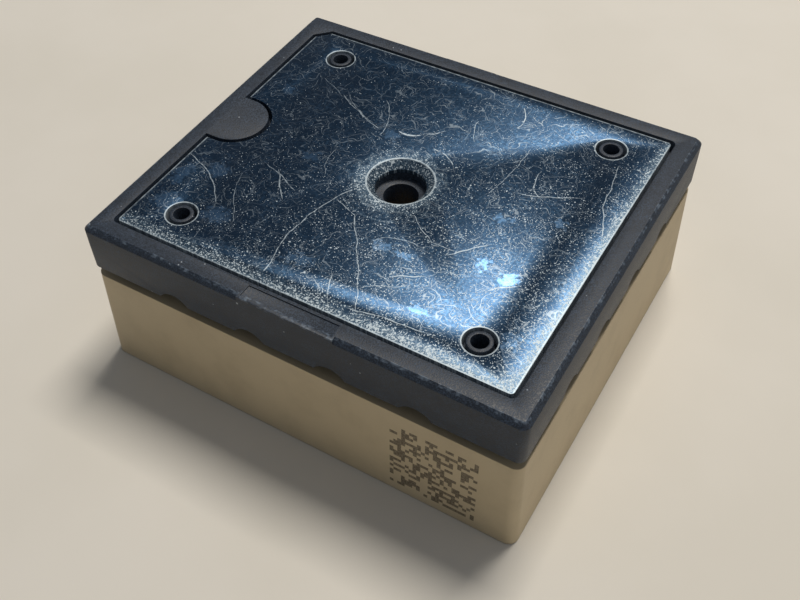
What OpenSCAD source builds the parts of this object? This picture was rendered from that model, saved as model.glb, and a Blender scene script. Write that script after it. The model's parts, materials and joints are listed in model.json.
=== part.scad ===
// Power semiconductor module with spring contacts: a moulded housing over a ceramic
// substrate, and a pressure lid with an inlaid metal plate held down by one screw.

/* [Housing] */
// Length of the housing at its top edge
housing_l = 59.1; // [57:0.1:64]
// Width of the housing at its top edge
housing_w = 51.6; // [50:0.1:56]
// Height of the housing from its foot to its deck
housing_h = 15; // [12:0.1:18]
// How far each wall leans out from the deck to the foot
housing_flare = 0.4; // [0:0.05:0.6]
// Radius of the housing's upright corners
housing_corner_r = 1.3; // [0.5:0.1:2]
// Thickness of the outer wall
wall_t = 1.5; // [1:0.1:1.8]
// Thickness of the deck
deck_t = 1.6; // [1.2:0.1:2.4]
// Thickness of the inner frame that holds the substrate
frame_t = 1.3; // [0.9:0.1:1.6]
// Width of the gap between the outer wall and the frame
ring_gap = 1.6; // [1.2:0.1:2.2]
// Thickness of the ribs that bridge this gap
web_t = 1.2; // [0.8:0.1:2]
// Diameter of the two pins that centre the circuit board
pin_d = 2.4; // [1.6:0.1:2.8]
// Height of the pins above the deck
pin_h = 3.2; // [2:0.1:4]
// Lead-in at the tip of each pin
pin_tip = 0.4; // [0.1:0.1:0.7]

/* [Lid] */
// How far the lid stands out over the top edge of the housing
lid_overhang = 0.1; // [0:0.01:0.25]
// Height of the lid from its skirt to its top
lid_h = 6.65; // [6:0.05:8]
// Slot for the circuit board between the deck and the lid
board_gap = 1.5; // [1:0.1:2.4]
// Chamfer along the lid's top edge
lid_chamfer = 0.64; // [0.2:0.02:1]
// Radius of the lid's upright corners
lid_corner_r = 1; // [0.7:0.1:1.5]
// Thickness of the skirt
skirt_t = 1.6; // [1:0.1:2]
// Thickness of the roof under the plate
roof_t = 1.6; // [1.2:0.1:2]
// Thickness of the pressure ribs
rib_t = 1.5; // [0.8:0.1:2.2]
// Chord of each arch in the skirt's lower edge, on the long sides
arch_l_long = 4.15; // [3:0.05:6]
// Chord of each arch on the short sides
arch_l_short = 3.5; // [2.6:0.1:5]
// Height of each arch
arch_h = 1.15; // [0.5:0.05:1.3]
// Spacing of the arches on the long sides
arch_pitch_long = 11.1; // [8:0.1:13]
// Spacing of the arches on the short sides
arch_pitch_short = 9.2; // [7:0.1:12]
// Length of the raised bar on the front rim
bar_l = 12.9; // [8:0.1:20]
// Length of the locating pad on the back wall
lug_l = 7.6; // [4:0.1:12]
// How far the locating pad stands out
lug_t = 0.22; // [0.1:0.02:0.24]

/* [Pressure plate] */
// Margin of the lid left at each end of the plate
plate_end_margin = 3.2; // [2.6:0.01:4.5]
// Margin of the lid left along each side of the plate
plate_side_margin = 3.12; // [2.6:0.01:4.5]
// Thickness of the plate
plate_t = 1.5; // [1:0.1:1.8]
// Gap between the plate and its pocket
plate_gap = 0.5; // [0.2:0.05:0.7]
// How far the plate lies below the rim
plate_drop = 0.05; // [0:0.01:0.3]
// Cut corner that shows which way round the plate goes
plate_cut = 1.75; // [1:0.05:3]
// Radius of the plate's other corners
plate_corner_r = 0.5; // [0.2:0.1:1]
// Radius of the half-round tab of the lid that keys the plate
tab_r = 4.35; // [3:0.05:6]
// Distance of the tab's centre from the end of the plate
tab_inset = 1.1; // [0.5:0.1:3]
// Diameter of the countersink at its mouth
sink_d = 8.46; // [7.5:0.02:9.5]
// Diameter of the plate's middle hole
plate_hole_d = 6.5; // [6:0.1:7.2]
// Diameter of the holes for the hollow posts
post_hole_d = 3.93; // [3.6:0.01:4.4]

/* [Hollow posts] */
// Distance of the posts from the ends of the plate
post_end_inset = 6.2; // [4:0.05:9]
// Distance of the posts from the sides of the plate
post_side_inset = 4.7; // [4:0.05:6]
// Outer diameter of each post
post_d = 3.05; // [2.8:0.05:3.3]
// Diameter of the blind hole in each post
post_bore_d = 2.1; // [1.6:0.05:2.3]
// Material left below the blind hole
post_floor = 1; // [0.6:0.1:2]

/* [Screw way] */
// Diameter of the hole for the fixing screw
screw_d = 4.5; // [4.2:0.1:5]
// Depth of the screw head's seat below the plate
head_seat = 1; // [0.6:0.1:1.4]
// Wall of the dome and of the shaft around the screw
screw_wall = 1.75; // [1.3:0.05:2]

/* [Substrate] */
// Thickness of the ceramic
ceramic_t = 0.38; // [0.25:0.01:0.7]
// Thickness of each copper layer
copper_t = 0.3; // [0.2:0.01:0.4]
// Bare margin of the ceramic around the copper
copper_margin = 0.8; // [0.5:0.05:1]
// Insulating gap between copper islands
copper_gap = 0.8; // [0.5:0.05:1]
// Gap between the substrate and the housing
seat_gap = 0.15; // [0.1:0.05:0.3]
// Gap between the substrate and the screw shaft
shaft_gap = 0.6; // [0.3:0.1:0.8]
// How far the housing's ledge reaches over the ceramic
ledge = 0.5; // [0.3:0.05:0.7]
// Side of each square transistor chip
igbt_side = 6.4; // [5.6:0.1:6.6]
// Length of each diode chip
diode_l = 4.8; // [4:0.1:5.2]
// Width of each diode chip
diode_w = 4.2; // [3.6:0.1:4.6]
// Thickness of the chips with their solder
chip_t = 0.2; // [0.12:0.01:0.3]
// Diameter of the power bond wires
power_wire_d = 0.3; // [0.2:0.05:0.4]
// Span of the power bond wires
power_wire_span = 4; // [3.8:0.1:4.2]
// Diameter of the signal bond wires
signal_wire_d = 0.2; // [0.1:0.05:0.25]
// Span of the signal bond wires
signal_wire_span = 3.3; // [3.1:0.1:3.5]
// Distance from the edge of the copper to where a power wire lands
wire_landing = 0.5; // [0.3:0.05:0.8]
// Distance from the edge of the chip to where a signal wire starts
signal_inset = 0.6; // [0.4:0.05:0.8]
// Spacing of the power wires on a transistor
igbt_wire_pitch = 0.95; // [0.7:0.05:1]
// Spacing of the power wires on a diode
diode_wire_pitch = 0.8; // [0.6:0.05:0.9]
// Length of the temperature sensor
sensor_l = 1.6; // [1.2:0.1:2]
// Width of the temperature sensor
sensor_w = 0.8; // [0.6:0.1:1.2]
// Height of the temperature sensor
sensor_h = 0.5; // [0.3:0.1:0.8]
// Height of the soft gel over the copper
gel_h = 3; // [2.8:0.1:3.4]
// Room between the gel and what stands in it
gel_play = 0.05; // [0.02:0.01:0.2]

/* [Contact springs] */
// Outer diameter of the coil
coil_d = 2.2; // [1.8:0.1:2.4]
// Diameter of the spring wire
spring_wire_d = 0.4; // [0.3:0.05:0.5]
// Number of working turns
coil_turns = 4.5; // [3:0.5:6]
// Play between the coil and its shaft
coil_play = 0.15; // [0.1:0.05:0.3]
// Wall of each spring shaft
shaft_wall = 0.45; // [0.4:0.05:0.6]
// Height of the mouth of each shaft above the bond wires
shaft_lift = 0.2; // [0.1:0.05:1]
// Diameter of the guide hole in the deck
guide_d = 1.2; // [1:0.1:1.6]
// Gap between the spring tips and the lid's ribs
tip_gap = 0.1; // [0:0.05:0.3]

/* [Hidden] */
$fn = 48;
skin = 0.01;
over = 1;

// heights, from the face that lies on the heat sink
ceramic_z = copper_t;
top_copper_z = ceramic_z + ceramic_t;
chip_z = top_copper_z + copper_t;
wire_z = chip_z + chip_t;
wires_top = wire_z + (power_wire_span + power_wire_d) / 2;
gel_top = chip_z + gel_h;
shaft_z = wires_top + shaft_lift;
deck_under = housing_h - deck_t;
lid_z = housing_h + board_gap;
top_z = lid_z + lid_h;
plate_z = top_z - plate_drop - plate_t;
roof_z = plate_z - roof_t;
seat_z = plate_z - head_seat;
tip_z = lid_z - tip_gap;

// outlines, each worked out from the one around it
frame_l = housing_l - 2 * (wall_t + ring_gap);
frame_w = housing_w - 2 * (wall_t + ring_gap);
frame_in_l = frame_l - 2 * frame_t;
frame_in_w = frame_w - 2 * frame_t;
ceramic_l = frame_in_l - 2 * seat_gap;
ceramic_w = frame_in_w - 2 * seat_gap;
cavity_l = ceramic_l - 2 * ledge;
cavity_w = ceramic_w - 2 * ledge;
lid_l = housing_l + 2 * lid_overhang;
lid_w = housing_w + 2 * lid_overhang;
plate_l = lid_l - 2 * plate_end_margin;
plate_w = lid_w - 2 * plate_side_margin;
post_x = plate_l / 2 - post_end_inset;
post_y = plate_w / 2 - post_side_inset;
tab_x = plate_l / 2 - tab_inset;
screw_way_r = screw_d / 2 + screw_wall;
ceramic_hole_r = screw_way_r + shaft_gap;
copper_hole_r = ceramic_hole_r + copper_margin;
dome_r = plate_hole_d / 2 + screw_wall;
shaft_r = coil_d / 2 + coil_play + shaft_wall;
// the centring pins stand between the lid's ribs and out of line with its arches
pin_x = housing_l / 2 - wall_t - pin_d;
pin_y = arch_pitch_short;
function arch_r(chord) = (pow(chord / 2, 2) + pow(arch_h, 2)) / (2 * arch_h);

// the circuit: three columns, one for each phase, four contacts wide
copper_l = ceramic_l - 2 * copper_margin;
copper_w = ceramic_w - 2 * copper_margin;
column_w = copper_l / 3;
spring_pitch = column_w / 4;
pad_l = spring_pitch - copper_gap;
pad_w = coil_d + 2.25 * copper_gap;
row_y = (copper_w - pad_w) / 2;
band_top = copper_w / 2 - pad_w - copper_gap;
band_bottom = copper_hole_r + copper_gap / 2;
phase_top = band_bottom - copper_gap;
igbt_x = -column_w / 4;
diode_x = column_w / 4;
chip_y = (band_top + band_bottom) / 2;
gate_x = igbt_x - igbt_side * 0.4;
sense_x = igbt_x + igbt_side * 0.3;
sensor_y = band_top + 2 * copper_gap;
sensor_x = spring_pitch;
// places of the power wires across each chip
igbt_wires_high = [for (k = [-1:1]) igbt_x - igbt_side / 6 + k * igbt_wire_pitch];
igbt_wires_low = [for (k = [-1:1]) igbt_x + igbt_side / 4 + k * igbt_wire_pitch];
diode_wires = [for (k = [-1:1]) diode_x + diode_w / 8 + k * diode_wire_pitch];
PHASES = ["u", "v", "w"];

// shapes used more than once

module rounded(l, w, r) {
    square([l - 2 * r, w], center = true);
    square([l, w - 2 * r], center = true);
    for (x = [-1, 1], y = [-1, 1])
        translate([x * (l / 2 - r), y * (w / 2 - r)]) circle(r);
}

module slab(z, l, w, r) {
    translate([0, 0, z]) linear_extrude(skin) rounded(l, w, r, $fn = 32);
}

module block(l, w, z0, z1) {
    translate([-l / 2, -w / 2, z0]) cube([l, w, z1 - z0]);
}

module rod(r, z0, z1) {
    translate([0, 0, z0]) cylinder(r = r, h = z1 - z0);
}

module at_posts() {
    for (x = [-1, 1], y = [-1, 1]) translate([x * post_x, y * post_y, 0]) children();
}

function column_x(phase) = (search(phase, "uvw")[0] - 1) * column_w;
function contact_x(phase, place) = column_x(phase) + (place - 1.5) * spring_pitch;

// places of the contact springs, by the net they serve
function row(phase, places, side) = [for (p = places) [contact_x(phase, p), side * row_y]];
DC_PLUS = concat(row("u", [2, 3], 1), row("w", [2, 3], 1));
GATES = [for (phase = PHASES) each concat(row(phase, [0, 1], 1), row(phase, [0], -1))];
SENSOR = row("v", [2, 3], 1);
function emitters(phase) = row(phase, [1, 2, 3], -1);
// the middle phase's contacts keep clear of the screw shaft
function phase_contacts(phase) = let (dx = phase == "v"
    ? (copper_hole_r + (column_w - copper_gap) / 2) / 2
    : spring_pitch)
    [for (s = [-1, 1]) [column_x(phase) + s * dx, 0]];
CONTACTS = concat(DC_PLUS, GATES, SENSOR, [for (phase = PHASES) each concat(emitters(phase), phase_contacts(phase))]);

// the moulded housing

module housing_shell() {
    difference() {
        hull() {
            slab(0, housing_l + 2 * housing_flare, housing_w + 2 * housing_flare, housing_corner_r);
            slab(housing_h - skin, housing_l, housing_w, housing_corner_r);
        }
        // gap between the outer wall and the frame, open towards the foot
        translate([0, 0, -over]) linear_extrude(deck_under + over) difference() {
            square([housing_l - 2 * wall_t, housing_w - 2 * wall_t], center = true);
            square([frame_l, frame_w], center = true);
            for (x = [-1, 0, 1]) translate([x * column_w, 0])
                square([web_t, housing_w], center = true);
            for (y = [-1, 1]) translate([0, y * housing_w / 4])
                square([housing_l, web_t], center = true);
        }
        // seat of the substrate, and the room for the circuit over it
        block(frame_in_l, frame_in_w, -over, top_copper_z);
        block(cavity_l, cavity_w, -over, deck_under);
    }
}

module centring_pin() {
    rod(pin_d / 2, housing_h - skin, housing_h + pin_h - pin_tip);
    translate([0, 0, housing_h + pin_h - pin_tip - skin])
        cylinder(r1 = pin_d / 2, r2 = pin_d / 2 - pin_tip, h = pin_tip);
}

module spring_bore() {
    rod(coil_d / 2 + coil_play, 0, deck_under);
    rod(guide_d / 2, 0, housing_h + over);
}

module housing() {
    color("wheat") difference() {
        union() {
            housing_shell();
            rod(screw_way_r, 0, lid_z);
            for (p = CONTACTS) translate(p) rod(shaft_r, shaft_z, housing_h - skin);
            for (s = [-1, 1]) translate([s * pin_x, s * pin_y]) centring_pin();
        }
        rod(screw_d / 2, -over, lid_z + over);
        for (p = CONTACTS) translate(p) spring_bore();
    }
}

// the pressure lid

module tab_outline(grow) {
    translate([-tab_x, 0]) circle(tab_r + grow);
    translate([-lid_l / 2, -tab_r - grow]) square([lid_l / 2 - tab_x, 2 * (tab_r + grow)]);
}

module plate_outline(grow) {
    // what is added to the cut keeps the gap even along the slanted edge
    cut = plate_cut + grow * (2 - sqrt(2));
    difference() {
        rounded(plate_l + 2 * grow, plate_w + 2 * grow, plate_corner_r + grow);
        translate([-plate_l / 2 - grow, plate_w / 2 + grow]) rotate(45)
            square(cut * sqrt(2), center = true);
        tab_outline(plate_gap - grow);
    }
}

module lid_shell() {
    difference() {
        union() {
            hull() {
                slab(lid_z, lid_l, lid_w, lid_corner_r);
                slab(top_z - lid_chamfer - skin, lid_l, lid_w, lid_corner_r);
                slab(top_z - skin, lid_l - 2 * lid_chamfer, lid_w - 2 * lid_chamfer, lid_corner_r / 2);
            }
            // raised bar that fills the chamfer on the front rim
            translate([-bar_l / 2, -lid_w / 2, top_z - 2 * lid_chamfer])
                cube([bar_l, 2 * lid_chamfer, 2 * lid_chamfer]);
            // locating pad on the back wall
            translate([-lug_l, lid_w / 2 - over, lid_z + arch_h])
                cube([lug_l, over + lug_t, lid_h - arch_h - lid_chamfer]);
        }
        block(lid_l - 2 * skirt_t, lid_w - 2 * skirt_t, lid_z - over, roof_z);
        translate([0, 0, plate_z]) linear_extrude(lid_h) plate_outline(plate_gap);
    }
}

module arch(chord, reach) {
    translate([0, 0, lid_z + arch_h - arch_r(chord)]) rotate([90, 0, 0])
        cylinder(r = arch_r(chord), h = reach + 2 * over, center = true);
}

module arches() {
    for (i = [-1.5:1.5]) {
        translate([i * arch_pitch_long, 0, 0]) arch(arch_l_long, lid_w);
        translate([0, i * arch_pitch_short, 0]) rotate(90) arch(arch_l_short, lid_l);
    }
}

module pressure_ribs() {
    for (y = [-1, 0, 1]) translate([0, y * row_y, 0]) block(lid_l - skirt_t, rib_t, lid_z, roof_z + skin);
    for (x = [-1, 1]) {
        translate([x * post_x, 0, 0]) block(rib_t, 2 * row_y, lid_z, roof_z + skin);
        translate([x * column_w / 2, 0, 0]) block(rib_t, 2 * row_y, lid_z, roof_z + skin);
    }
}

module pressure_lid() {
    color("#26282c") difference() {
        union() {
            difference() {
                lid_shell();
                arches();
            }
            pressure_ribs();
            rod(dome_r, lid_z, roof_z + skin);
            at_posts() rod(post_d / 2 + skirt_t / 2, lid_z, roof_z + skin);
            at_posts() rod(post_d / 2, roof_z, top_z - plate_drop);
        }
        rod(screw_d / 2, lid_z - over, top_z);
        rod(plate_hole_d / 2, seat_z, top_z);
        at_posts() rod(post_bore_d / 2, lid_z + post_floor, top_z + over);
    }
}

module pressure_plate() {
    depth = (sink_d - plate_hole_d) / 2;
    color("#8f9ba8") difference() {
        translate([0, 0, plate_z]) linear_extrude(plate_t) plate_outline(0);
        rod(plate_hole_d / 2, plate_z - over, top_z + over);
        translate([0, 0, plate_z + plate_t - depth])
            cylinder(r1 = plate_hole_d / 2, r2 = sink_d / 2 + over, h = depth + over);
        at_posts() rod(post_hole_d / 2, plate_z - over, top_z + over);
    }
}

// the substrate and its copper

module ceramic_substrate() {
    color("white") difference() {
        block(ceramic_l, ceramic_w, ceramic_z, top_copper_z);
        rod(ceramic_hole_r, 0, top_copper_z + over);
    }
}

module back_copper() {
    color("#b87333") difference() {
        block(copper_l, copper_w, 0, copper_t);
        rod(copper_hole_r, -over, copper_t + over);
    }
}

module copper(x0, x1, y0, y1) {
    translate([x0, y0, top_copper_z]) cube([x1 - x0, y1 - y0, copper_t]);
}

module pads(phase, first, last, side) {
    copper(contact_x(phase, first) - pad_l / 2, contact_x(phase, last) + pad_l / 2,
        side * row_y - pad_w / 2, side * row_y + pad_w / 2);
}

module dc_plus_copper() {
    color("#b87333") {
        copper(-copper_l / 2, copper_l / 2, band_bottom, band_top);
        for (phase = ["u", "w"])
            copper(contact_x(phase, 2) - pad_l / 2, contact_x(phase, 3) + pad_l / 2,
                band_top - skin, row_y + pad_w / 2);
    }
}

module phase_copper(phase) {
    x = column_x(phase);
    half = (column_w - copper_gap) / 2;
    color("#b87333") difference() {
        copper(x - half, x + half, -band_top, phase_top);
        rod(copper_hole_r, 0, chip_z + over);
    }
}

module emitter_copper(phase) {
    color("#b87333") pads(phase, 1, 3, -1);
}

module signal_pads() {
    color("#b87333") {
        for (phase = PHASES) {
            pads(phase, 0, 0, 1);
            pads(phase, 1, 1, 1);
            pads(phase, 0, 0, -1);
        }
        pads("v", 2, 2, 1);
        pads("v", 3, 3, 1);
    }
}

module igbt(phase, side) {
    color("#5d6470") translate([column_x(phase) + igbt_x, side * chip_y, chip_z])
        block(igbt_side, igbt_side, 0, chip_t);
}

// the diodes lie level with the edge of the transistors that the power wires leave from
function diode_y(side) = side * chip_y - (igbt_side - diode_l) / 2;

module diode(phase, side) {
    color("#4a4f58") translate([column_x(phase) + diode_x, diode_y(side), chip_z])
        block(diode_w, diode_l, 0, chip_t);
}

module temperature_sensor() {
    color("#3a3a3a") translate([sensor_x, sensor_y, chip_z]) block(sensor_l, sensor_w, 0, sensor_h);
}

// a bond wire that leaves a chip at y and lands on copper one span along the way
module bond_wire(x, y, span, d, way) {
    translate([x, y + way * span / 2, wire_z]) rotate([90, 0, 90])
        rotate_extrude(angle = 180) translate([span / 2, 0]) circle(d = d, $fn = 16);
    translate([x, y + way * span, 0]) rod(d / 2, chip_z, wire_z, $fn = 16);
}

module bond_wires(phase) {
    x = column_x(phase);
    high_start = phase_top - wire_landing + power_wire_span;
    low_start = -band_top - copper_gap - wire_landing + power_wire_span;
    signal_edge = chip_y + igbt_side / 2 - signal_inset;
    color("silver") {
        for (dx = concat(igbt_wires_high, diode_wires))
            bond_wire(x + dx, high_start, power_wire_span, power_wire_d, -1);
        for (dx = concat(igbt_wires_low, diode_wires))
            bond_wire(x + dx, low_start, power_wire_span, power_wire_d, -1);
        for (dx = [gate_x, sense_x]) bond_wire(x + dx, signal_edge, signal_wire_span, signal_wire_d, 1);
        bond_wire(x + gate_x, -signal_edge, signal_wire_span, signal_wire_d, -1);
    }
}

// soft gel over the circuit, with room for what stands in it
module silicone_gel() {
    color([0.8, 0.85, 0.9, 0.5]) difference() {
        block(cavity_l - gel_play, cavity_w - gel_play, chip_z, gel_top);
        rod(screw_way_r + gel_play, 0, gel_top + over);
        for (p = CONTACTS) translate(p) rod(shaft_r + gel_play, 0, gel_top + over);
        for (phase = PHASES) translate([column_x(phase), 0, 0]) {
            translate([igbt_x, 0, 0]) gel_pockets(igbt_side);
            translate([diode_x, 0, 0]) gel_pockets(diode_w);
        }
        translate([sensor_x, sensor_y, 0])
            block(sensor_l + gel_play, sensor_w + gel_play, 0, chip_z + sensor_h + gel_play);
    }
}

// one pocket over the high side's chip and wires, and one over the low side's
module gel_pockets(l) {
    high = [phase_top - 2 * wire_landing, band_top + copper_gap + 2 * wire_landing];
    low = [-high[1], igbt_side / 2 + gel_play - chip_y];
    for (span = [high, low])
        translate([-(l + gel_play) / 2, span[0], 0]) cube([l + gel_play, span[1] - span[0], wires_top + gel_play]);
}

// contact springs: a closed turn on the pad, the working turns, and a shank up the middle

coil_r = (coil_d - spring_wire_d) / 2;
coil_low = chip_z + spring_wire_d / 2;
coil_high = deck_under - spring_wire_d;
seg = 7;
sides = 4;
closed_rings = seg;
coil_rings = closed_rings + ceil(coil_turns * seg);
function coil_point(i) =
    let (a = 360 * i / seg,
        up = i <= closed_rings ? spring_wire_d * 1.05 * i / closed_rings
            : spring_wire_d * 1.05 + (coil_high - coil_low - spring_wire_d * 1.05)
                * (i - closed_rings) / (coil_rings - closed_rings))
    [coil_r * cos(a), coil_r * sin(a), coil_low + up];
end_angle = 360 * coil_rings / seg;
spring_path = concat([for (i = [0:coil_rings]) coil_point(i)], [
    [coil_r * 0.45 * cos(end_angle + 50), coil_r * 0.45 * sin(end_angle + 50), coil_high + spring_wire_d * 0.6],
    [0, 0, deck_under + spring_wire_d],
    [0, 0, tip_z]]);

function unit(v) = v / norm(v);
function tangent(p, i) = unit(p[min(i + 1, len(p) - 1)] - p[max(i - 1, 0)]);

// side direction of each ring, carried along the path without twist
function carried(p, i, side) = unit(side - tangent(p, i) * (side * tangent(p, i)));
function sides_of(p, i = 0, side = [0, 0, 1]) = i == len(p) ? []
    : let (s = carried(p, i, side)) concat([s], sides_of(p, i + 1, s));

module sweep(path, r) {
    s = sides_of(path);
    n = len(path);
    points = [for (i = [0:n - 1], k = [0:sides - 1])
        let (u = s[i], v = cross(tangent(path, i), u), a = 360 * (k + 0.5) / sides)
        path[i] + r * (u * cos(a) + v * sin(a))];
    walls = [for (i = [0:n - 2], k = [0:sides - 1], h = [0, 1])
        let (a = i * sides + k, b = i * sides + (k + 1) % sides)
        h == 0 ? [a, b, a + sides] : [b, b + sides, a + sides]];
    polyhedron(points, concat([[for (k = [0:sides - 1]) sides - 1 - k]], walls,
        [[for (k = [0:sides - 1]) (n - 1) * sides + k]]), convexity = 8);
}

module springs(places) {
    color("gainsboro") for (p = places) translate(p) sweep(spring_path, spring_wire_d / 2 * sqrt(1.3));
}

housing();
pressure_lid();
pressure_plate();
ceramic_substrate();
back_copper();
dc_plus_copper();
phase_copper("u");  // phase_u_copper
phase_copper("v");  // phase_v_copper
phase_copper("w");  // phase_w_copper
emitter_copper("u");  // emitter_u_copper
emitter_copper("v");  // emitter_v_copper
emitter_copper("w");  // emitter_w_copper
signal_pads();
igbt("u", 1);  // igbt_u_high
igbt("v", 1);  // igbt_v_high
igbt("w", 1);  // igbt_w_high
igbt("u", -1);  // igbt_u_low
igbt("v", -1);  // igbt_v_low
igbt("w", -1);  // igbt_w_low
diode("u", 1);  // diode_u_high
diode("v", 1);  // diode_v_high
diode("w", 1);  // diode_w_high
diode("u", -1);  // diode_u_low
diode("v", -1);  // diode_v_low
diode("w", -1);  // diode_w_low
temperature_sensor();
bond_wires("u");  // bond_wires_u
bond_wires("v");  // bond_wires_v
bond_wires("w");  // bond_wires_w
silicone_gel();
springs(DC_PLUS);  // springs_dc_plus
springs(emitters("u"));  // springs_emitter_u
springs(emitters("v"));  // springs_emitter_v
springs(emitters("w"));  // springs_emitter_w
springs(phase_contacts("u"));  // springs_phase_u
springs(phase_contacts("v"));  // springs_phase_v
springs(phase_contacts("w"));  // springs_phase_w
springs(GATES);  // springs_gate
springs(SENSOR);  // springs_sensor
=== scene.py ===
"""Dresses a spring-contact power module: its lid, its inlaid plate and the finish of every piece."""

import contextlib
import json
import logging
import math
from collections.abc import Callable, Iterator, Sequence
from dataclasses import dataclass, field
from enum import Enum

import bmesh
import bpy
from mathutils import Euler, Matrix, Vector


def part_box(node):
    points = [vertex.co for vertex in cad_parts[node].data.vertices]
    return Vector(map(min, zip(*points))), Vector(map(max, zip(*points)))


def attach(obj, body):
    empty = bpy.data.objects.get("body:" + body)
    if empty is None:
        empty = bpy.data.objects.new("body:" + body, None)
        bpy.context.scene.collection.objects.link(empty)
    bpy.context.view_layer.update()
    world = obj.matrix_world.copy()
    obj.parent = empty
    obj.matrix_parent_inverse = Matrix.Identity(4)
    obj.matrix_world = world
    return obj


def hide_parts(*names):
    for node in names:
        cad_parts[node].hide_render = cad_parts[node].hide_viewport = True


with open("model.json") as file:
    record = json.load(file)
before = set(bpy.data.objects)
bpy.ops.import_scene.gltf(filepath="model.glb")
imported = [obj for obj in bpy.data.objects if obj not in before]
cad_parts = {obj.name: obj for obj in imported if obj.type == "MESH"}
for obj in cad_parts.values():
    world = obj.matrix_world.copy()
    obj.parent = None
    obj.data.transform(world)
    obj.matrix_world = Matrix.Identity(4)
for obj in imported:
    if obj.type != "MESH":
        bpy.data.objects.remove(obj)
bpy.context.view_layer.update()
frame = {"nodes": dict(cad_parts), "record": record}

logging.basicConfig(level=logging.INFO, format="%(message)s")
log = logging.getLogger("power module")

MM = 0.001
Point = tuple[float, float, float]
Spot = tuple[float, float]


@dataclass(frozen=True)
class Box:
    """The box of a piece of the frame, in millimetres."""

    low: Vector
    high: Vector

    @classmethod
    def of(cls, node: str) -> "Box":
        """Reads the box of a node."""
        low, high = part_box(node)
        return cls(Vector(low) / MM, Vector(high) / MM)


# ---------------------------------------------------------------- finishes


def linear(code: str) -> tuple[float, float, float, float]:
    """Turns an sRGB hex colour to linear.

    Args:
        code: the colour, such as "#26282c".

    Returns:
        Linear red, green, blue and alpha 1.
    """
    parts = [int(code[i : i + 2], 16) / 255 for i in (1, 3, 5)]
    red, green, blue = (c / 12.92 if c <= 0.04045 else ((c + 0.055) / 1.055) ** 2.4 for c in parts)
    return (red, green, blue, 1.0)


def add(tree: bpy.types.NodeTree, kind: str, *numbered: object, **settings: object) -> bpy.types.Node:
    """Adds a node with its settings and links.

    Args:
        tree: the node tree.
        kind: the node's type name, without what all of them begin with.
        numbered: a value, a node or an output for each input in turn; None leaves an input as it is.
        settings: properties of the node, and "sockets" for inputs given by name or number.

    Returns:
        The new node.
    """
    made = tree.nodes.new("ShaderNode" + kind)
    sockets = dict(enumerate(numbered)) | settings.pop("sockets", {})
    for name, value in settings.items():
        setattr(made, name, value)
    for key, value in sockets.items():
        if isinstance(value, bpy.types.Node):
            value = next(output for output in value.outputs if output.enabled)
        if isinstance(value, bpy.types.NodeSocket):
            tree.links.new(value, made.inputs[key])
        elif value is not None:
            made.inputs[key].default_value = value
    return made


@dataclass(frozen=True)
class Finish:
    """A finish of one real material; each kind builds its own nodes."""

    name: str

    def dress(self, tree: bpy.types.NodeTree, shader: bpy.types.Node, place: bpy.types.Node) -> None:
        """Builds the pattern.

        Args:
            tree: the material's node tree.
            shader: its Principled shader.
            place: Object coordinates in millimetres.
        """
        raise NotImplementedError

    def build(self) -> bpy.types.Material:
        """Makes the material.

        Returns:
            The new material.
        """
        material = bpy.data.materials.new(self.name)
        material.use_nodes = True
        tree = material.node_tree
        coords = add(tree, "TexCoord").outputs["Object"]
        place = add(tree, "Mapping", coords, sockets={"Scale": (1 / MM,) * 3})
        self.dress(tree, tree.nodes["Principled BSDF"], place)
        return material

    def cloud(
        self, tree: bpy.types.NodeTree, place: object, size: float, low: float, high: float,
        shift: Point = (0, 0, 0), stretch: Point = (1, 1, 1), turn: float = 0, detail: float = 2,
    ) -> bpy.types.Node:
        """A cloudy pattern with a soft threshold.

        Args:
            tree: the node tree.
            place: coordinates in millimetres.
            size: size of the clouds in millimetres.
            low: strength of the pattern at which a cloud begins.
            high: strength at which it is full.
            shift: moves the pattern, so that two of one size differ.
            stretch: squeezes it along each axis.
            turn: turns it about the upright axis, in radians.
            detail: how many finer layers it has.

        Returns:
            A node that gives 0 outside the clouds and 1 inside.
        """
        turned = add(tree, "Mapping", place, shift, (0, 0, turn))
        squeezed = add(tree, "Mapping", turned, sockets={"Scale": stretch})
        sockets = {"Vector": squeezed, "Scale": 1 / size, "Detail": detail, "Roughness": 0.55}
        value = add(tree, "TexNoise", sockets=sockets)
        return add(tree, "MapRange", value, low, high, 0.0, 1.0, interpolation_type="SMOOTHSTEP")


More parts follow.
